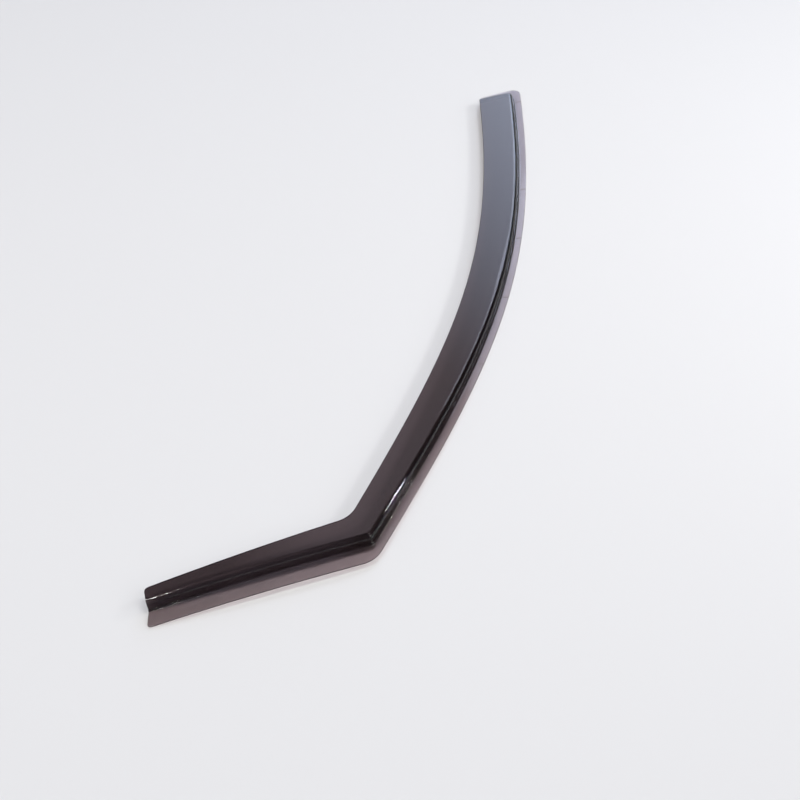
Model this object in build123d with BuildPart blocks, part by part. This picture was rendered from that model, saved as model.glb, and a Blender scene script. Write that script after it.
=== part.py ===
from build123d import *
from math import atan, atan2, cos, degrees, radians, sin, sqrt, tan
import os

os.makedirs("parts", exist_ok=True)

# all sizes in mm, all angles in degrees

# curve of the door glass that the deflector follows, a cylinder along the car
glass_radius = 1870.0
crown_y = 61.0
rest_pitch = 0.2

# sheet and the thin milled flange
sheet = 3.0
flange_thickness = 1.1

# outer edge of the flange, measured from the sharp corner of the elbow
chord = 885.5
leave_angle = 12.8
arrive_angle = 13.5
leave_reach = 0.75
arrive_reach = 0.86
elbow_turn = 48.4
elbow_radius = 29.1
short_leg = 230.9

# distances inwards from that edge
wall_long = 11.5
wall_short = 20.5
free_elbow_long = 43.3
free_far = 59.3
free_elbow_short = 52.5
free_tip = 39.6
inner_elbow_radius = 29.0

# share of the widening that the free edge takes at its two ends
widen_elbow = 1.73
widen_far = 0.54

# hood: height of its outer face above the glass at the elbow, falling towards the far end
hood_height = 14.1
hood_fall = 0.28
shoulder_radius = 5.6
bend_radius = 2.2
wall_elbow_radius = 6.6
wall_far_radius = 7.0

# small ledge left round the foot of the wall where the flange is milled thin, and the milled root below it
ledge = 0.7
ledge_height = 3.3
root_radius = 2.0

# far end: slanted end wall and the tab beyond it, narrowing towards its top
end_slant = 14.7
end_wall_back = 16.3
tab_slant = 18.2
tab_back = 0.1
tab_top = 57.0
tab_outer_radius = 10.0
tab_top_radius = 4.0
free_far_radius = 9.0
free_far_clear = 0.5

# tip of the short leg, cut out of square across the flange and nearly square across the shade
tip_flange_slant = 12.8
tip_shade_slant = 1.5
tip_flange_radius = 4.0
tip_free_radius = 5.0

# fine lines scored across the flange of the long leg, measured along its edge from the elbow
score_at = [46, 177, 304, 426, 543, 648, 756, 861]
score_width = 0.6
score_depth = 0.3
score_slant = 18.0

# stock left on before trimming, and depth of the plan prisms
stock = 25.0
prism = 60.0
axis_length = 1500.0


def unit(angle):
    return Vector(cos(radians(angle)), sin(radians(angle)))


leave = unit(-leave_angle)
leave_in = unit(90 - leave_angle)
arrive = unit(arrive_angle)
arrive_in = unit(90 + arrive_angle)
short_out = unit(180 - leave_angle - elbow_turn)
short_in = unit(90 - leave_angle - elbow_turn)
far_corner = Vector(chord, 0)


def elbow(on_long, on_short):
    along = (on_short - on_long * cos(radians(elbow_turn))) / sin(radians(elbow_turn))
    return leave_in * on_long + leave * along


def on_short_leg(inset, from_elbow):
    return short_out * from_elbow + short_in * inset


def at_far(inset, back):
    return far_corner + arrive_in * inset - arrive * back


# point at a depth behind the outer face of the end wall
def end_wall(inset, depth):
    slant = radians(end_slant)
    return at_far(inset, end_wall_back + inset * tan(slant) + depth / cos(slant))


# stock beyond the shade, cut square to the end wall
def squared(depth):
    along = unit(90 + arrive_angle + end_slant) * (free_far + 2 * stock)
    inwards = unit(180 + arrive_angle + end_slant) * depth
    return end_wall(0, 0) + along + inwards


def tip(inset):
    on_flange = min(inset, wall_short) * tan(radians(tip_flange_slant))
    on_shade = max(inset - wall_short, 0) * tan(radians(tip_shade_slant))
    return on_short_leg(inset, short_leg - on_flange - on_shade)


# point above the glass, which dips along the car as the part lies
def on_glass(spot, height, dip):
    rise = sqrt((glass_radius + height) ** 2 - (spot.Y - crown_y) ** 2) - glass_radius
    return Vector(spot.X, spot.Y, rise - spot.X * sin(radians(dip)))


def across(a, b):
    return a.X * b.Y - a.Y * b.X


# four control points of a line along the long leg, leaning out at its ends where the strip widens
def long_leg(start, end, elbow_lean=0.0, far_lean=0.0):
    first = unit(elbow_lean - leave_angle)
    last = unit(far_lean + arrive_angle)
    span = end - start
    first_arm = first * (across(span, last) / across(first, last))
    last_arm = last * (across(first, span) / across(first, last))
    return [start, start + first_arm * leave_reach, end - last_arm * arrive_reach, end]


# cylinder axis below the elbow, dipping towards the far end
def axis_plane(height, dip):
    along = Vector(cos(radians(dip)), 0, -sin(radians(dip)))
    start = Vector(0, crown_y, height - glass_radius) - along * axis_length / 3
    return Plane(origin=start, x_dir=(0, 1, 0), z_dir=along)


plan = Plane.XY.offset(-prism / 2)
glass_axis = axis_plane(0, rest_pitch)
hood_dip = rest_pitch + hood_fall
hood_axis = axis_plane(hood_height, hood_dip)
widen = degrees(atan((free_far - free_elbow_long) / chord))

# space under the hood
hollow_elbow = elbow(wall_long + sheet, wall_short + sheet)
hollow_far = end_wall(wall_long + sheet, sheet)
with BuildPart() as hollow:
    with BuildSketch(plan):
        with BuildLine():
            hollow_tip = on_short_leg(wall_short + sheet, short_leg + 2 * stock)
            hollow_tip_free = on_short_leg(free_elbow_short + 2 * stock, short_leg + 2 * stock)
            hollow_elbow_free = elbow(free_elbow_long + 2 * stock, free_elbow_short + 2 * stock)
            hollow_far_free = end_wall(free_far + 4 * stock, sheet)
            Line(hollow_tip, hollow_elbow)
            Bezier(*long_leg(hollow_elbow, hollow_far))
            Line(hollow_far, hollow_far_free)
            Bezier(*long_leg(hollow_elbow_free, hollow_far_free))
            Line(hollow_elbow_free, hollow_tip_free)
            Line(hollow_tip_free, hollow_tip)
        make_face()
    extrude(amount=prism)
    fillet(hollow.edges().filter_by(Axis.Z).sort_by_distance(hollow_elbow)[0], wall_elbow_radius - sheet)
    fillet(hollow.edges().filter_by(Axis.Z).sort_by_distance(hollow_far)[0], wall_far_radius - sheet)
    with BuildSketch(hood_axis):
        Circle(glass_radius - sheet)
    extrude(amount=axis_length, mode=Mode.INTERSECT)
    hollow_top = hollow.faces().sort_by(Axis.Z)[-1]
    fillet(hollow_top.edges().sort_by_distance(hollow_far)[0], shoulder_radius - sheet)

# thin flange, left large all round
mid_long = wall_long + sheet / 2
mid_short = wall_short + sheet / 2
inner_elbow = elbow(mid_long, mid_short)
inner_far = end_wall(mid_long, sheet / 2)
inner_tip = on_short_leg(mid_short, short_leg + stock)
inner_top = squared(sheet / 2)
with BuildPart() as flange:
    with BuildSketch(plan):
        with BuildLine():
            wide_tip = on_short_leg(-stock, short_leg + stock)
            wide_elbow = elbow(-stock, -stock)
            wide_far = end_wall(-stock, -2 * stock)
            wide_top = squared(-2 * stock)
            Line(wide_tip, wide_elbow)
            Bezier(*long_leg(wide_elbow, wide_far))
            Line(wide_far, wide_top)
            Line(wide_top, inner_top)
            Line(inner_top, inner_far)
            Bezier(*long_leg(inner_elbow, inner_far))
            Line(inner_elbow, inner_tip)
            Line(inner_tip, wide_tip)
        make_face()
    extrude(amount=prism)
    fillet(flange.edges().filter_by(Axis.Z).sort_by_distance(inner_elbow)[0], wall_elbow_radius - sheet / 2)
    fillet(flange.edges().filter_by(Axis.Z).sort_by_distance(inner_far)[0], wall_far_radius - sheet / 2)
    with BuildSketch(glass_axis):
        Circle(glass_radius + flange_thickness)
        Circle(glass_radius, mode=Mode.SUBTRACT)
    extrude(amount=axis_length, mode=Mode.INTERSECT)

# ledge round the foot of the wall
ledge_elbow = elbow(wall_long - ledge, wall_short - ledge)
ledge_far = end_wall(wall_long - ledge, -ledge)
with BuildPart() as foot:
    with BuildSketch(plan):
        with BuildLine():
            ledge_tip = on_short_leg(wall_short - ledge, short_leg + stock)
            ledge_top = squared(-ledge)
            Line(ledge_tip, ledge_elbow)
            Bezier(*long_leg(ledge_elbow, ledge_far))
            Line(ledge_far, ledge_top)
            Line(ledge_top, inner_top)
            Line(inner_top, inner_far)
            Bezier(*long_leg(inner_elbow, inner_far))
            Line(inner_elbow, inner_tip)
            Line(inner_tip, ledge_tip)
        make_face()
    extrude(amount=prism)
    fillet(foot.edges().filter_by(Axis.Z).sort_by_distance(inner_elbow)[0], wall_elbow_radius - sheet / 2)
    fillet(foot.edges().filter_by(Axis.Z).sort_by_distance(inner_far)[0], wall_far_radius - sheet / 2)
    fillet(foot.edges().filter_by(Axis.Z).sort_by_distance(ledge_elbow)[0], wall_elbow_radius + ledge)
    fillet(foot.edges().filter_by(Axis.Z).sort_by_distance(ledge_far)[0], wall_far_radius + ledge)
    with BuildSketch(glass_axis):
        Circle(glass_radius + ledge_height)
        Circle(glass_radius, mode=Mode.SUBTRACT)
    extrude(amount=axis_length, mode=Mode.INTERSECT)

# trimmed outline of the shade
shade_elbow = elbow(free_elbow_long, free_elbow_short)
shade_far = end_wall(free_far, -free_far_clear)
shade_tip = tip(free_tip)
with BuildPart() as shade_outline:
    with BuildSketch(plan):
        with BuildLine():
            shade_far_wall = end_wall(wall_long, -free_far_clear)
            Line(tip(wall_short), shade_tip)
            Line(shade_tip, shade_elbow)
            Bezier(*long_leg(shade_elbow, shade_far, widen * widen_elbow, widen * widen_far))
            Line(shade_far, shade_far_wall)
            Bezier(*long_leg(elbow(wall_long, wall_short), shade_far_wall))
            Line(elbow(wall_long, wall_short), tip(wall_short))
        make_face()
    extrude(amount=prism)
    fillet(shade_outline.edges().filter_by(Axis.Z).sort_by_distance(shade_tip)[0], tip_free_radius)
    fillet(shade_outline.edges().filter_by(Axis.Z).sort_by_distance(shade_elbow)[0], inner_elbow_radius)
    fillet(shade_outline.edges().filter_by(Axis.Z).sort_by_distance(shade_far)[0], free_far_radius)

# trimmed outline of the flange and of the tab round the far end
flange_far = at_far(0, tab_back)
tab_corner = at_far(tab_top, tab_back + tab_top * tan(radians(tab_slant)))
with BuildPart() as outline:
    with BuildSketch(plan):
        with BuildLine():
            tab_inner = end_wall(tab_top, sheet / 2)
            Line(tip(0), elbow(0, 0))
            Bezier(*long_leg(elbow(0, 0), flange_far))
            Line(flange_far, tab_corner)
            Line(tab_corner, tab_inner)
            Line(tab_inner, inner_far)
            Bezier(*long_leg(inner_elbow, inner_far))
            Line(inner_elbow, tip(mid_short))
            Line(tip(mid_short), tip(0))
        make_face()
    extrude(amount=prism)
    fillet(outline.edges().filter_by(Axis.Z).sort_by_distance(tip(0))[0], tip_flange_radius)
    fillet(outline.edges().filter_by(Axis.Z).sort_by_distance(elbow(0, 0))[0], elbow_radius)
    fillet(outline.edges().filter_by(Axis.Z).sort_by_distance(flange_far)[0], tab_outer_radius)
    fillet(outline.edges().filter_by(Axis.Z).sort_by_distance(tab_corner)[0], tab_top_radius)
    add(shade_outline.part)

# scored lines, from off the edge to the foot of the root
with BuildPart() as scores:
    rim = Edge.make_bezier(*long_leg(elbow(0, 0), flange_far))
    with BuildSketch(plan):
        for at in score_at:
            spot = rim.position_at(at, PositionMode.LENGTH)
            heading = rim.tangent_at(at, PositionMode.LENGTH)
            inwards = degrees(atan2(heading.Y, heading.X)) + 90 + score_slant
            with Locations(Location((spot.X, spot.Y), inwards)):
                Rectangle(wall_long - ledge - root_radius, score_width, align=(Align.MIN, Align.CENTER))
    extrude(amount=prism)
    with BuildSketch(glass_axis):
        Circle(glass_radius + flange_thickness + score_depth)
        Circle(glass_radius + flange_thickness - score_depth, mode=Mode.SUBTRACT)
    extrude(amount=axis_length, mode=Mode.INTERSECT)

# hood over the hollow, with the flange joined on, then trimmed to the outline
wall_elbow = elbow(wall_long, wall_short)
wall_far = end_wall(wall_long, 0)
with BuildPart() as deflector:
    with BuildSketch(plan):
        with BuildLine():
            wall_tip = on_short_leg(wall_short, short_leg + stock)
            hood_tip_free = on_short_leg(free_elbow_short + stock, short_leg + stock)
            hood_elbow_free = elbow(free_elbow_long + stock, free_elbow_short + stock)
            hood_far_end = squared(0)
            hood_far_free = squared(3 * stock)
            Line(wall_tip, wall_elbow)
            Bezier(*long_leg(wall_elbow, wall_far))
            Line(wall_far, hood_far_end)
            Line(hood_far_end, hood_far_free)
            Bezier(*long_leg(hood_elbow_free, hood_far_free))
            Line(hood_elbow_free, hood_tip_free)
            Line(hood_tip_free, wall_tip)
        make_face()
    extrude(amount=prism)
    fillet(deflector.edges().filter_by(Axis.Z).sort_by_distance(wall_elbow)[0], wall_elbow_radius)
    fillet(deflector.edges().filter_by(Axis.Z).sort_by_distance(wall_far)[0], wall_far_radius)
    with BuildSketch(hood_axis):
        Circle(glass_radius)
    extrude(amount=axis_length, mode=Mode.INTERSECT)
    hood_top = deflector.faces().sort_by(Axis.Z)[-1]
    fillet(hood_top.edges().sort_by_distance(wall_far)[0], shoulder_radius)
    with BuildSketch(glass_axis):
        Circle(glass_radius)
    extrude(amount=axis_length, mode=Mode.SUBTRACT)
    add(hollow.part, mode=Mode.SUBTRACT)
    add(foot.part)
    add(flange.part)
    root_spot = on_glass(on_short_leg(wall_short - ledge, short_leg / 2), flange_thickness, rest_pitch)
    fillet(deflector.edges().sort_by_distance(root_spot)[0], root_radius)
    bend_spot = on_glass(on_short_leg(wall_short + sheet, short_leg / 2), 0, rest_pitch)
    fillet(deflector.edges().sort_by_distance(bend_spot)[0], bend_radius)
    add(outline.part, mode=Mode.INTERSECT)
    add(scores.part, mode=Mode.SUBTRACT)

# laid on the floor with the middle of its footprint over the origin
extent = deflector.part.bounding_box()
rain_deflector = Pos(-extent.center().X, -extent.center().Y, -extent.min.Z) * deflector.part
rain_deflector.label = "rain deflector"
export_step(rain_deflector, "parts/rain_deflector.step")
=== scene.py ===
import math
from math import cos, radians, sin, sqrt, tan
import bpy
import bmesh
from mathutils import Matrix, Vector
from mathutils.geometry import interpolate_bezier


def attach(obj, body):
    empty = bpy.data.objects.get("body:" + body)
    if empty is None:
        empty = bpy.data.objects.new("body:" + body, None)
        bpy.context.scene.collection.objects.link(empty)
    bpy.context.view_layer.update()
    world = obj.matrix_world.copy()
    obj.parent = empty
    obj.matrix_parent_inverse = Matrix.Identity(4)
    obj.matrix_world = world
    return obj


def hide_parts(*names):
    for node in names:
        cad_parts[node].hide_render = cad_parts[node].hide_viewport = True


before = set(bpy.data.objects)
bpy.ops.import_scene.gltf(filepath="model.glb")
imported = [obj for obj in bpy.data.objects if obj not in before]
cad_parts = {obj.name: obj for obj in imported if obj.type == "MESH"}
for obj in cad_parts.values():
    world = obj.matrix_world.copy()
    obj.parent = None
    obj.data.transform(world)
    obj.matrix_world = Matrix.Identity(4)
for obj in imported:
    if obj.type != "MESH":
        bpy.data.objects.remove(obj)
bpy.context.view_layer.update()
scene = bpy.context.scene
scene.view_settings.view_transform = "Standard"
print("frame in, nodes:", sorted(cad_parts))


# the deflector, sizes of the solid repeated in millimetres
moulding = dict(
    elbowSpot=(-385.1365, -76.4200, 5.7429),            # sharp corner of the flange edge at the elbow
    glassRadius=1870.0, crownY=61.0, glassDip=0.2, hoodDip=0.48, hoodHeight=14.1,
    sheet=3.0, flange=1.1, chord=885.5, leave=12.8, arrive=13.5, leaveReach=0.75, arriveReach=0.86,
    turn=48.4, elbowRound=29.1, shortLeg=230.9, wallLong=11.5, wallShort=20.5,
    freeLong=43.3, freeShort=52.5, freeFar=59.3, freeTip=39.6, freeRound=29.0, freeLean=(1.788, 0.558),
    shoulder=5.6, bend=2.2, wallElbow=6.6, wallFar=7.0, ledge=0.7, ledgeHeight=3.3, root=2.0,
    endSlant=14.7, endBack=16.3, tabSlant=18.2, tabBack=0.1, tabTop=57.0, tabOuter=10.0, tabRound=4.0,
    freeFarRound=9.0, freeFarClear=0.5, tipSlants=(12.8, 1.5), tipFlangeRound=4.0, tipFreeRound=5.0,
    scores=(46, 177, 304, 426, 543, 648, 756, 861), scoreSlant=18.0, scoreDepth=0.3,
    scoreHalf=(0.30, 0.42), firstScore=6.0,             # half widths at a line's bottom and top, least way to the first
    stations=dict(short=60, elbow=12, gaps=(14, 34, 33, 32, 31, 28, 29, 28, 10), far=8),   # divisions along the strip
    endSteps=(0.05, 0.10, 0.15, 0.21, 0.27, 0.33, 0.39, 0.45, 0.51, 0.57,
              0.63, 0.69, 0.75, 0.81, 0.86, 0.90, 0.94, 0.97, 1.0),
    flangeSteps=(0.0, 0.04, 0.09, 0.15, 0.225, 0.42, 0.62, 0.82),
    ledgeSteps=((-0.67, -0.06), (-0.58, 0.0), (-0.10, 0.0), (-0.02, 0.08), (0.0, 0.2)),    # in from the wall, up
    innerSteps=(-2.1, -1.5, -0.9, -0.3, 0.3), wallSteps=(0.35, 0.7, 1.0),
    rootSteps=5, bendSteps=4, shoulderSteps=10, legPoints=400, trimPoints=120,
    softEdge=0.30,
)
m = moulding
mm = 0.001


def heading(angle):
    return Vector((cos(radians(angle)), sin(radians(angle))))


leave, leaveIn = heading(-m["leave"]), heading(90 - m["leave"])
arrive, arriveIn = heading(m["arrive"]), heading(90 + m["arrive"])
shortOut, shortIn = heading(180 - m["leave"] - m["turn"]), heading(90 - m["leave"] - m["turn"])
endAlong, endBehind = heading(90 + m["arrive"] + m["endSlant"]), heading(180 + m["arrive"] + m["endSlant"])


# plan points, inwards from the flange edge
def elbowAt(onLong, onShort):
    return leaveIn * onLong + leave * ((onShort - onLong * cos(radians(m["turn"]))) / sin(radians(m["turn"])))


def tipAt(inset):
    onFlange, onShade = (tan(radians(a)) for a in m["tipSlants"])
    back = min(inset, m["wallShort"]) * onFlange + max(inset - m["wallShort"], 0) * onShade
    return shortIn * inset + shortOut * (m["shortLeg"] - back)


def endAt(inset, depth):
    slant = radians(m["endSlant"])
    back = m["endBack"] + depth / cos(slant) + inset * tan(slant)
    return Vector((m["chord"], 0)) + arriveIn * inset - arrive * back


def tabAt(inset):
    back = m["tabBack"] + inset * tan(radians(m["tabSlant"]))
    return Vector((m["chord"], 0)) + arriveIn * inset - arrive * back


def endDepth(spot):
    return (spot - endAt(0, 0)).dot(endBehind)


def legLine(start, end, lean=(0, 0)):
    first, last, span = heading(lean[0] - m["leave"]), heading(lean[1] + m["arrive"]), end - start
    armA = first * (span.cross(last) / first.cross(last)) * m["leaveReach"]
    armB = last * (first.cross(span) / first.cross(last)) * m["arriveReach"]
    return interpolate_bezier(start, start + armA, end - armB, end, m["legPoints"])


# a line of points, read by length
def runs(line):
    total = [0.0]
    for a, b in zip(line, line[1:]):
        total.append(total[-1] + (b - a).length)
    return total


def readAt(line, spots):
    total, out, n = runs(line), [], 0
    for s in spots:
        while n < len(line) - 2 and total[n + 1] < s:
            n += 1
        out.append(line[n].lerp(line[n + 1], (s - total[n]) / (total[n + 1] - total[n])))
    return out


def nearest(line, spot):
    total = runs(line)
    n = min(range(len(line)), key=lambda k: (line[k] - spot).length)
    way = (line[min(n + 1, len(line) - 1)] - line[max(n - 1, 0)]).normalized()
    return total[n] + (spot - line[n]).dot(way)


def part(line, start, end):
    inner = [p for p, s in zip(line, runs(line)) if start + 1e-6 < s < end - 1e-6]
    return readAt(line, [start]) + inner + readAt(line, [end])


def roundCorner(a, b, radius, steps):
    turn = (a[-1] - a[-2]).angle(b[1] - b[0])
    cut = radius * tan(turn / 2)
    a, b = part(a, 0, runs(a)[-1] - cut), part(b, cut, runs(b)[-1])
    wayA, wayB = (a[-1] - a[-2]).normalized(), (b[1] - b[0]).normalized()
    turn = wayA.angle(wayB)
    arm = (b[0] - a[-1]).length / (2 * sin(turn / 2)) * 4 / 3 * tan(turn / 4)
    return a, interpolate_bezier(a[-1], a[-1] + wayA * arm, b[0] - wayB * arm, b[0], steps + 1), b


def even(line, steps):
    whole = runs(line)[-1]
    return readAt(line, [whole * k / steps for k in range(steps + 1)])


# free edge of the shade, and the round at its far end that also trims the end wall
steps = m["stations"]
freeElbow = elbowAt(m["freeLong"], m["freeShort"])
freeEnd = endAt(m["freeFar"], -m["freeFarClear"])
freeShort, freeArc, freeLong = roundCorner(
    [tipAt(m["freeTip"]), freeElbow], legLine(freeElbow, freeEnd, m["freeLean"]), m["freeRound"], steps["elbow"])
endLine = [freeEnd, endAt(m["wallLong"], -m["freeFarClear"])]
freeLong, farTrim, _ = roundCorner(freeLong, endLine, m["freeFarRound"], m["trimPoints"])

# inner ends of the scored lines
rimDepth = (m["tabBack"] - m["endBack"]) * cos(radians(m["endSlant"]))
rimLine = legLine(elbowAt(0, 0), tabAt(0))
footInset = m["wallLong"] - m["ledge"] - m["root"]
scoreOuter, scoreInner = readAt(rimLine, m["scores"]), []
for spot, beyond in zip(scoreOuter, readAt(rimLine, [s + 1 for s in m["scores"]])):
    way = (beyond - spot).normalized()
    scoreInner.append(spot + (Vector((-way.y, way.x)) - way * tan(radians(m["scoreSlant"]))) * footInset)


def railPoints(short, elbowArc, leg, farArc, end, marks):
    out = even(short, steps["short"]) + elbowArc[1:]
    whole, at = runs(leg)[-1], 0.0
    low, top = m["scoreHalf"]
    for spot, gap in zip(marks, steps["gaps"]):
        s = max(nearest(leg, spot), at + m["firstScore"])
        out += readAt(leg, [at + (s - top - at) * k / gap for k in range(1, gap + 1)])
        out += readAt(leg, [s - low, s + low, s + top])
        at = s + top
    out += readAt(leg, [at + (whole - at) * k / steps["gaps"][-1] for k in range(1, steps["gaps"][-1] + 1)])
    out += farArc[1:]
    if end:
        out += readAt(end, [runs(end)[-1] * f for f in m["endSteps"]])
    return out


def rail(onLong, onShort, depth, elbowRound, farRound, last, marks):
    corner, far = elbowAt(onLong, onShort), endAt(onLong, depth)
    short, elbowArc, leg = roundCorner([tipAt(onShort), corner], legLine(corner, far), elbowRound, steps["elbow"])
    leg, farArc, end = roundCorner(leg, [far, last], farRound, steps["far"])
    return railPoints(short, elbowArc, leg, farArc, end, marks)


kept = {}


def wallRail(u):                                        # u runs inwards from the outer face of the wall
    if u not in kept:
        last = min(farTrim, key=lambda p: abs(endDepth(p) - u)) if u >= 0 else endAt(m["tabTop"], u)
        kept[u] = rail(m["wallLong"] + u, m["wallShort"] + u, u,
                       m["wallElbow"] - u, m["wallFar"] - u, last, scoreInner)
    return kept[u]


rim = rail(0, 0, rimDepth, m["elbowRound"], m["tabOuter"], tabAt(m["tabTop"]), scoreOuter)
foot = wallRail(-m["ledge"] - m["root"])
crest = wallRail(m["shoulder"])
half = len(crest) - 1 - len(m["endSteps"]) - steps["far"] // 2     # station at the middle of the far corner
trimEnd = min(range(len(farTrim)), key=lambda k: abs(endDepth(farTrim[k]) - m["shoulder"]))
free = railPoints(freeShort, freeArc, freeLong, even(farTrim[:trimEnd + 1], steps["far"] // 2), None, scoreInner)
print("plan: %d stations, far corner at %d, free edge %d" % (len(crest), half, len(free)))


def onGlass(spot, height):
    rise = sqrt((m["glassRadius"] + height) ** 2 - (spot.y - m["crownY"]) ** 2) - m["glassRadius"]
    return rise - spot.x * sin(radians(m["glassDip"]))


def onHood(spot, depth):
    rise = sqrt((m["glassRadius"] - depth) ** 2 - (spot.y - m["crownY"]) ** 2) - m["glassRadius"]
    return rise + m["hoodHeight"] - spot.x * tan(radians(m["hoodDip"]))


# how far a rounded corner stands back at a distance d from the edge, its other side slanting back
def nick(radius, d, slant=0.0):
    slant = radians(slant)
    if d >= radius * (1 + sin(slant)):
        return 0.0
    return radius * tan(slant) + radius / cos(slant) - d * tan(slant) - sqrt(radius ** 2 - (radius - d) ** 2)


def place(spot, z):
    return (Vector((spot.x, spot.y, z)) + Vector(m["elbowSpot"])) * mm


scored, at = set(), steps["short"] + steps["elbow"]
for gap in steps["gaps"][:-1]:
    scored |= {at + gap + 1, at + gap + 2}
    at += gap + 3


# flange rows from the rim to the foot of the root, the two ends rounded off
def flangeRow(f):
    row = [a.lerp(b, f) for a, b in zip(rim, foot)]
    tipNick = nick(m["tipFlangeRound"], f * (foot[0] - rim[0]).dot(shortIn), m["tipSlants"][0])
    tabNick = nick(m["tabRound"], f * (foot[-1] - rim[-1]).length * cos(radians(m["tabSlant"])), -m["tabSlant"])
    for i in range(steps["short"]):
        row[i] = row[i] - shortOut * tipNick * (1 - i / steps["short"])
    for k, share in enumerate(m["endSteps"]):
        i = len(row) - len(m["endSteps"]) + k
        row[i] = row[i] - endAlong * tabNick * share
    return row


# angles of a quarter turn
def quarter(steps, first=1):
    return [radians(90 * k / steps) for k in range(first, steps + 1)]


# rows of the skin from the rim to the crest of the shoulder: plan points with a height for each, and what they are
def skinRows(outer):
    rows = []
    h = m["flange"] if outer else 0.0
    for f in m["flangeSteps"] + (1.0,):
        row = flangeRow(f)
        cut = m["scoreDepth"] if outer and f < 1 else 0.0
        rows.append(("flange", row, [onGlass(p, h - (cut if i in scored else 0)) for i, p in enumerate(row)]))
    top, sheet, r, b = m["ledgeHeight"], m["sheet"], m["root"], m["bend"]
    if outer:
        low = [("root", -m["ledge"] - r + r * sin(a), h + r * (1 - cos(a))) for a in quarter(m["rootSteps"])]
        low += [("wall", u, top + z) for u, z in m["ledgeSteps"]]
        face, rise, depth, turnRound = 0.0, top + m["ledgeSteps"][-1][1], 0.0, m["shoulder"]
    else:
        low = [("flange", u, 0.0) for u in m["innerSteps"]]
        low += [("wall", sheet - b + b * sin(a), b * (1 - cos(a))) for a in quarter(m["bendSteps"], 0)]
        face, rise, depth, turnRound = sheet, b, sheet, m["shoulder"] - sheet
    for kind, u, z in low:
        row = wallRail(u)
        rows.append((kind, row, [onGlass(p, z) for p in row]))
    for share in m["wallSteps"]:
        row = wallRail(face)
        heights = [onGlass(p, rise) * (1 - share) + (onHood(p, depth) - turnRound) * share for p in row]
        rows.append(("wall", row, heights))
    for a in quarter(m["shoulderSteps"]):
        row = wallRail(face + turnRound * (1 - cos(a)))
        rows.append(("wall", row, [onHood(p, depth) - turnRound * (1 - sin(a)) for p in row]))
    return rows


# the shade, from the crest to the free edge
def shadeRows(outer):
    depth = 0.0 if outer else m["sheet"]
    across = runs(crest[half:])
    shares = [s / across[-1] for s in across]
    rows = []
    for k, f in enumerate(shares):
        row = [crest[i].lerp(free[i], f) for i in range(half)] + [crest[half + k]]
        tipNick = nick(m["tipFreeRound"], (1 - f) * (free[0] - crest[0]).length)
        for i in range(steps["short"]):
            row[i] = row[i] - shortOut * tipNick * (1 - i / steps["short"])
        rows.append(("shade", row, [onHood(p, depth) for p in row]))
    return rows


def addSheet(bm, rows, layers):
    count = len(rows[0][1])
    made = bmesh.ops.create_grid(bm, x_segments=count - 1, y_segments=len(rows) - 1, size=0.5)["verts"]
    along = runs(crest)
    for n, vert in enumerate(made):
        kind, row, heights = rows[n // count]
        vert.co = place(row[n % count], heights[n % count])
        vert[layers["along"]] = along[n % count] * mm
        vert[layers["across"]] = (row[n % count] - rim[n % count]).length * mm
        vert[layers["milled"]] = float(kind in ("flange", "root"))
        vert[layers["root"]] = float(kind == "root")


def makeDeflector():
    bm = bmesh.new()
    layers = {name: bm.verts.layers.float.new(name) for name in ("along", "across", "milled", "root")}
    for outer in (True, False):
        addSheet(bm, skinRows(outer), layers)
        addSheet(bm, shadeRows(outer), layers)
    bmesh.ops.remove_doubles(bm, verts=bm.verts, dist=0.000002)
    edge = [e for e in bm.edges if len(e.link_faces) == 1]
    bmesh.ops.bridge_loops(bm, edges=edge)
    print("edge loops bridged:", len(edge), "edges")
    bmesh.ops.recalc_face_normals(bm, faces=bm.faces)
    bmesh.ops.bevel(bm, geom=edge, offset=m["softEdge"] * mm, offset_type="OFFSET", affect="EDGES",
                    segments=2, profile=0.5, material=-1, clamp_overlap=False)
    for face in bm.faces:
        face.smooth = True
    mesh = bpy.data.meshes.new("deflectorShell")
    bm.to_mesh(mesh)
    bm.free()
    piece = bpy.data.objects.new("deflectorShell", mesh)
    scene.collection.objects.link(piece)
    evenNormals = piece.modifiers.new("evenNormals", "WEIGHTED_NORMAL")
    evenNormals.weight = 80
    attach(piece, "root")
    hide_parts("rain_deflector")
    return piece


def plainNodes(tree):
    tree.nodes.clear()

    def add(kind, sockets=None, **settings):
        node = tree.nodes.new("ShaderNode" + kind)
        for name, value in settings.items():
            setattr(node, name, value)
        for name, value in (sockets or {}).items():
            if isinstance(value, bpy.types.NodeSocket):
                tree.links.new(value, node.inputs[name])
            else:
                node.inputs[name].default_value = value
        return node
    return add


# smoked acrylic, lengths in metres
acrylic = dict(
    tint=(0.568, 0.511, 0.524, 1.0), density=1900.0,    # takes 0.82, 0.93 and 0.90 of a log unit per millimetre
    ior=1.49, gloss=0.012, milledRough=0.045,
    chatterPitch=0.0023, chatterHeight=0.000012, chatterLean=1400.0,
    waveScale=9.0, waveHeight=0.000005,
    hazeScale=55.0, hazeReach=(0.35, 0.75), hazeGain=2.4,
)


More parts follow.
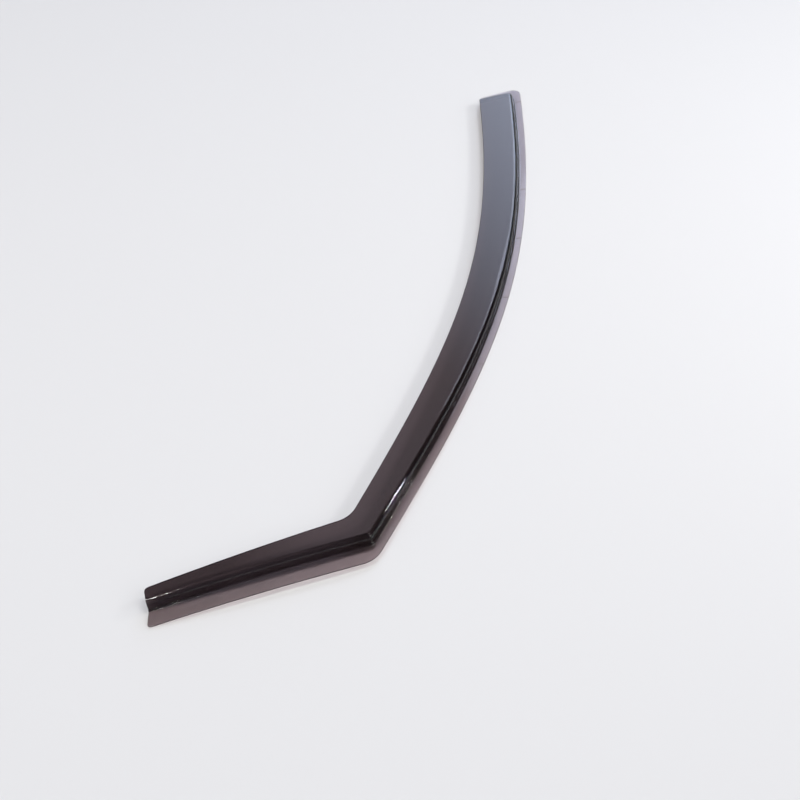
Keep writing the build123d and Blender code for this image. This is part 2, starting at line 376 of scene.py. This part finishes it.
def smokedAcrylic(look):
    mat = bpy.data.materials.new("smokedAcrylic")
    mat.use_nodes = True
    add = plainNodes(mat.node_tree)
    spot = add("TexCoord").outputs["Object"]
    along = add("Attribute", attribute_name="along").outputs["Fac"]
    across = add("Attribute", attribute_name="across").outputs["Fac"]
    milled = add("Attribute", attribute_name="milled").outputs["Fac"]
    root = add("Attribute", attribute_name="root").outputs["Fac"]
    # slow unevenness of the sheet
    wave = add("TexNoise", {"Vector": spot, "Scale": look["waveScale"], "Detail": 1.0}).outputs["Fac"]
    waveH = add("Math", {0: wave, 1: look["waveHeight"]}, operation="MULTIPLY").outputs[0]
    # cutter marks in the milled root, leaning like the strands of a rope
    turnA = add("Math", {0: along, 1: 2 * math.pi / look["chatterPitch"]}, operation="MULTIPLY").outputs[0]
    turnB = add("Math", {0: across, 1: look["chatterLean"], 2: turnA}, operation="MULTIPLY_ADD").outputs[0]
    ridge = add("Math", {0: turnB}, operation="SINE").outputs[0]
    worn = add("Math", {0: ridge, 1: root}, operation="MULTIPLY").outputs[0]
    height = add("Math", {0: worn, 1: look["chatterHeight"], 2: waveH}, operation="MULTIPLY_ADD").outputs[0]
    bump = add("Bump", {"Height": height, "Strength": 1.0, "Distance": 1.0}).outputs["Normal"]
    # polish, with handling haze, and the duller milled flange
    haze = add("TexNoise", {"Vector": spot, "Scale": look["hazeScale"], "Detail": 4.0, "Roughness": 0.6}).outputs["Fac"]
    polish = add("MapRange", {0: haze, 1: look["hazeReach"][0], 2: look["hazeReach"][1],
                              3: look["gloss"], 4: look["gloss"] * look["hazeGain"]}).outputs[0]
    rough = add("Math", {0: milled, 1: look["milledRough"], 2: polish}, operation="MULTIPLY_ADD").outputs[0]
    body = add("BsdfPrincipled", {"Base Color": (1, 1, 1, 1), "Transmission Weight": 1.0, "IOR": look["ior"],
                                  "Roughness": rough, "Normal": bump}).outputs["BSDF"]
    clear = add("BsdfTransparent").outputs["BSDF"]
    shadow = add("LightPath").outputs["Is Shadow Ray"]
    surface = add("MixShader", {0: shadow, 1: body, 2: clear}).outputs["Shader"]
    smoke = add("VolumeAbsorption", {"Color": look["tint"], "Density": look["density"]}).outputs["Volume"]
    add("OutputMaterial", {"Surface": surface, "Volume": smoke})
    return mat


shell = makeDeflector()
shell.data.materials.append(smokedAcrylic(acrylic))
print("deflector:", len(shell.data.polygons), "faces")

# pale floor
ground = dict(size=24.0, colour=(0.72, 0.72, 0.72, 1.0), rough=0.85)


def makeFloor(g):
    bm = bmesh.new()
    bmesh.ops.create_grid(bm, x_segments=2, y_segments=2, size=g["size"] / 2)
    mesh = bpy.data.meshes.new("paleFloor")
    bm.to_mesh(mesh)
    bm.free()
    floor = bpy.data.objects.new("paleFloor", mesh)
    scene.collection.objects.link(floor)
    mat = bpy.data.materials.new("paleFloor")
    mat.use_nodes = True
    add = plainNodes(mat.node_tree)
    matte = add("BsdfPrincipled", {"Base Color": g["colour"], "Roughness": g["rough"], "Specular IOR Level": 0.2})
    add("OutputMaterial", {"Surface": matte.outputs["BSDF"]})
    mesh.materials.append(mat)


makeFloor(ground)

# soft studio light: a dim room, pale glows that the polish mirrors, and soft lamps
studio = dict(
    room=(0.10, 0.10, 0.102, 1.0),
    glows=[
        dict(way=(0.785, 0.069, 0.616), reach=(0.9135, 0.9744), colour=(1.02, 0.84, 0.93, 1.0)),    # ceiling
        dict(way=(0.880, -0.077, 0.469), reach=(0.9397, 0.9945), colour=(1.18, 1.48, 2.00, 1.0)),   # cool window
        dict(way=(0.952, 0.134, 0.276), reach=(0.883, 0.990), colour=(0.86, 1.08, 1.45, 1.0)),      # its lower panes
        dict(way=(-0.121, -0.858, 0.500), reach=(0.90, 0.98), colour=(2.00, 2.00, 2.05, 1.0)),      # sides and back
        dict(way=(-0.198, 0.740, 0.643), reach=(0.84, 0.97), colour=(0.32, 0.32, 0.33, 1.0)),
        dict(way=(-0.805, 0.156, 0.573), reach=(0.90, 0.98), colour=(0.80, 0.80, 0.82, 1.0)),
    ],
    lamps=[
        dict(name="mainSoft", at=(-0.89, 1.92, 4.53), aim=(0, 0, 0), size=(1.7, 1.7),
             watts=90.0, colour=(1.0, 0.985, 0.955)),
        dict(name="fillSoft", at=(1.06, -1.83, 4.53), aim=(0, 0, 0), size=(1.7, 1.7),
             watts=58.0, colour=(1.0, 0.985, 0.955)),
        dict(name="coolPanel", at=(2.46, -0.36, 1.74), aim=(0, 0, 0.01), size=(1.0, 1.6),
             watts=10.0, colour=(0.85, 0.95, 1.15)),
        dict(name="sideStrip", at=(0.415, -1.285, 0.785), aim=(-0.305, -0.08, 0.017), size=(0.06, 0.20), watts=5.0),
        dict(name="smallTop", at=(-0.83, 0.32, 2.0), aim=(-0.46, 0.11, 0.01), size=(0.18, 0.18), watts=3.0),
    ],
)


def makeLights(s):
    world = bpy.data.worlds.new("studio")
    scene.world = world
    world.use_nodes = True
    add = plainNodes(world.node_tree)
    way = add("TexCoord").outputs["Generated"]
    tone = s["room"]
    for g in s["glows"]:
        facing = add("VectorMath", {0: way, 1: g["way"]}, operation="DOT_PRODUCT").outputs["Value"]
        share = add("MapRange", {0: facing, 1: g["reach"][0], 2: g["reach"][1]},
                    interpolation_type="SMOOTHSTEP").outputs[0]
        tone = add("Mix", {0: share, 6: tone, 7: g["colour"]}, data_type="RGBA", blend_type="ADD").outputs[2]
    add("OutputWorld", {"Surface": add("Background", {"Color": tone}).outputs["Background"]})
    for l in s["lamps"]:
        data = bpy.data.lights.new(l["name"], "AREA")
        data.shape = "RECTANGLE"
        data.size, data.size_y = l["size"]
        data.energy = l["watts"]
        data.color = l.get("colour", (1, 1, 1))
        lamp = bpy.data.objects.new(l["name"], data)
        lamp.location = l["at"]
        lamp.rotation_euler = (Vector(l["aim"]) - Vector(l["at"])).to_track_quat("-Z", "Y").to_euler()
        scene.collection.objects.link(lamp)


makeLights(studio)

# the photograph's viewpoint
viewpoint = dict(at=(-1.18005, -0.38347, 1.0266), aim=(-0.15265, -0.04587, 0.0),
                 roll=-7.642, lens=60.148, shift=(0.0019, -0.0005))


def makeCamera(v):
    data = bpy.data.cameras.new("viewpoint")
    data.lens = v["lens"]
    data.sensor_width = 36.0
    data.shift_x, data.shift_y = v["shift"]
    data.clip_end = 50
    cam = bpy.data.objects.new("viewpoint", data)
    look = (Vector(v["aim"]) - Vector(v["at"])).to_track_quat("-Z", "Y").to_matrix().to_4x4()
    cam.matrix_world = Matrix.Translation(v["at"]) @ look @ Matrix.Rotation(radians(v["roll"]), 4, "Z")
    scene.collection.objects.link(cam)
    scene.camera = cam


makeCamera(viewpoint)
print("lights and camera in")
